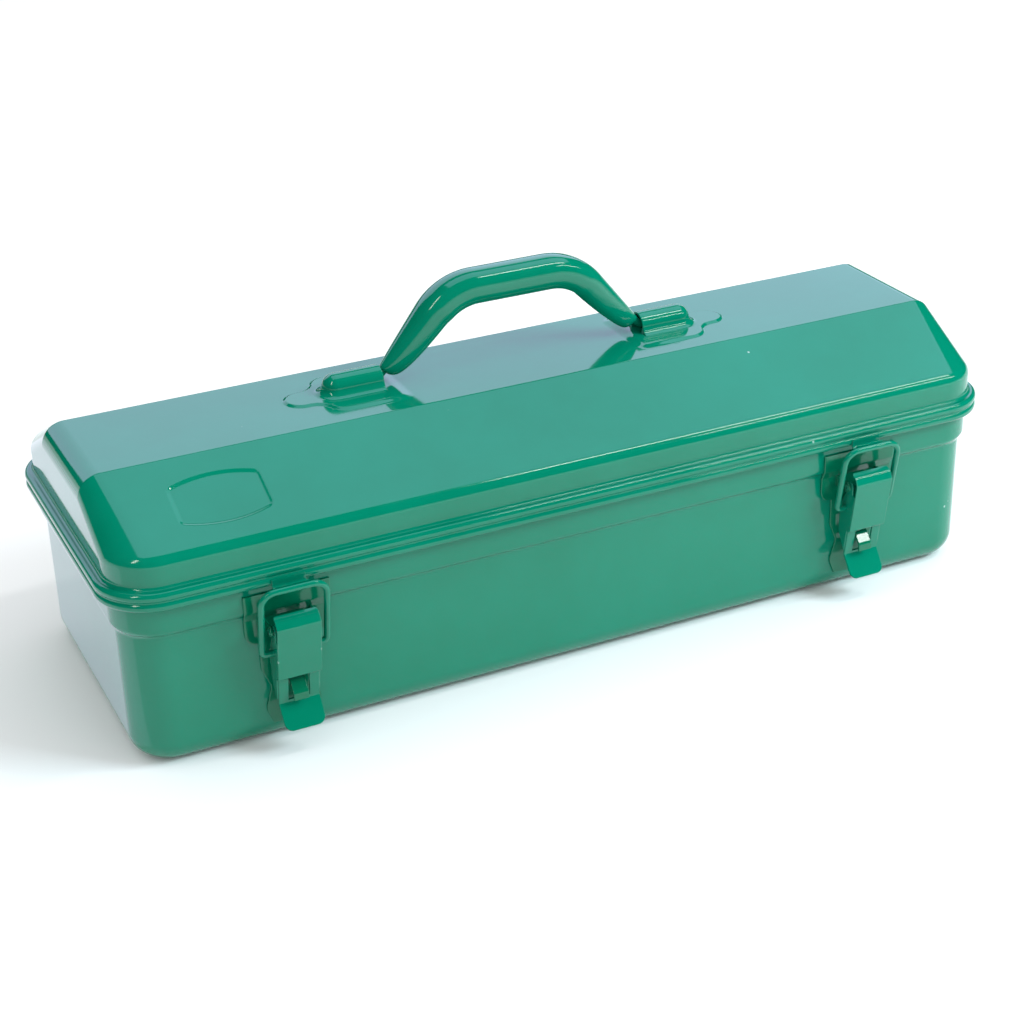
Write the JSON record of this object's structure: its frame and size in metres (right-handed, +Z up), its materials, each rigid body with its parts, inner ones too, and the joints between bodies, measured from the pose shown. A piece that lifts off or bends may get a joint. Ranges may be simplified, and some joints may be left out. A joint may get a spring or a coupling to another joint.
{
  "type": "metal toolbox",
  "caption": "Green pressed steel toolbox with a camber-top hinged lid, draw latches, a bow carrying handle and a lift-out tray.",
  "frame": {"origin": "centre of the flat base, on the surface that the box stands on", "axes": "+X along the length to the right seen from the front, +Y from the latches to the hinges, +Z up"},
  "size_m": [0.41, 0.1685, 0.1578],
  "materials": {
    "green_paint": "glossy green stoving enamel on pressed steel",
    "green_paint_dark": "glossy green enamel on small latch and hinge pieces"
  },
  "bodies": {
    "box": {"body_shell": "green_paint", "hinge_body_leaf_left": "green_paint_dark", "hinge_body_leaf_right": "green_paint_dark", "hinge_pin_left": "green_paint", "hinge_pin_right": "green_paint", "latch_base_left": "green_paint_dark", "latch_base_right": "green_paint_dark", "latch_staple_left": "green_paint_dark", "latch_staple_right": "green_paint_dark", "latch_pin_left": "green_paint", "latch_pin_right": "green_paint"},
    "lid": {"lid_shell": "green_paint", "socket_cover_left": "green_paint_dark", "socket_cover_right": "green_paint_dark", "hinge_lid_leaf_left": "green_paint", "hinge_lid_leaf_right": "green_paint", "latch_keeper_left": "green_paint", "latch_keeper_right": "green_paint"},
    "handle": {"carry_handle": "green_paint"},
    "tray": {"tray_pan": "green_paint", "tray_grip": "green_paint"},
    "lever_left": {"latch_lever_left": "green_paint"},
    "bail_left": {"latch_bail_left": "green_paint"},
    "lever_right": {"latch_lever_right": "green_paint"},
    "bail_right": {"latch_bail_right": "green_paint"}
  },
  "joints": [
    {"name": "lid_hinge", "type": "hinge", "parent": "box", "child": "lid", "pos_m": [0, 0.0799, 0.076], "axis": [-1, 0, 0], "range_deg": [0, 105]},
    {"name": "handle_swing", "type": "hinge", "parent": "lid", "child": "handle", "pos_m": [0, 0, 0.1172], "axis": [1, 0, 0], "range_deg": [-70, 70]},
    {"name": "tray_lift", "type": "slide", "parent": "box", "child": "tray", "axis": [0, 0, 1], "range_m": [0, 0.022]},
    {"name": "lever_left_open", "type": "hinge", "parent": "box", "child": "lever_left", "pos_m": [-0.134, -0.0801, 0.0564], "axis": [-1, 0, 0], "range_deg": [0, 135]},
    {"name": "bail_left_swing", "type": "hinge", "parent": "lever_left", "child": "bail_left", "pos_m": [-0.134, -0.0778, 0.0454], "axis": [-1, 0, 0], "range_deg": [-135, 0]},
    {"name": "lever_right_open", "type": "hinge", "parent": "box", "child": "lever_right", "pos_m": [0.134, -0.0801, 0.0564], "axis": [-1, 0, 0], "range_deg": [0, 135]},
    {"name": "bail_right_swing", "type": "hinge", "parent": "lever_right", "child": "bail_right", "pos_m": [0.134, -0.0778, 0.0454], "axis": [-1, 0, 0], "range_deg": [-135, 0]}
  ],
  "couplings": [
    {"joint": "bail_left_swing", "follows": "lever_left_open", "ratio": -1},
    {"joint": "bail_right_swing", "follows": "lever_right_open", "ratio": -1}
  ]
}
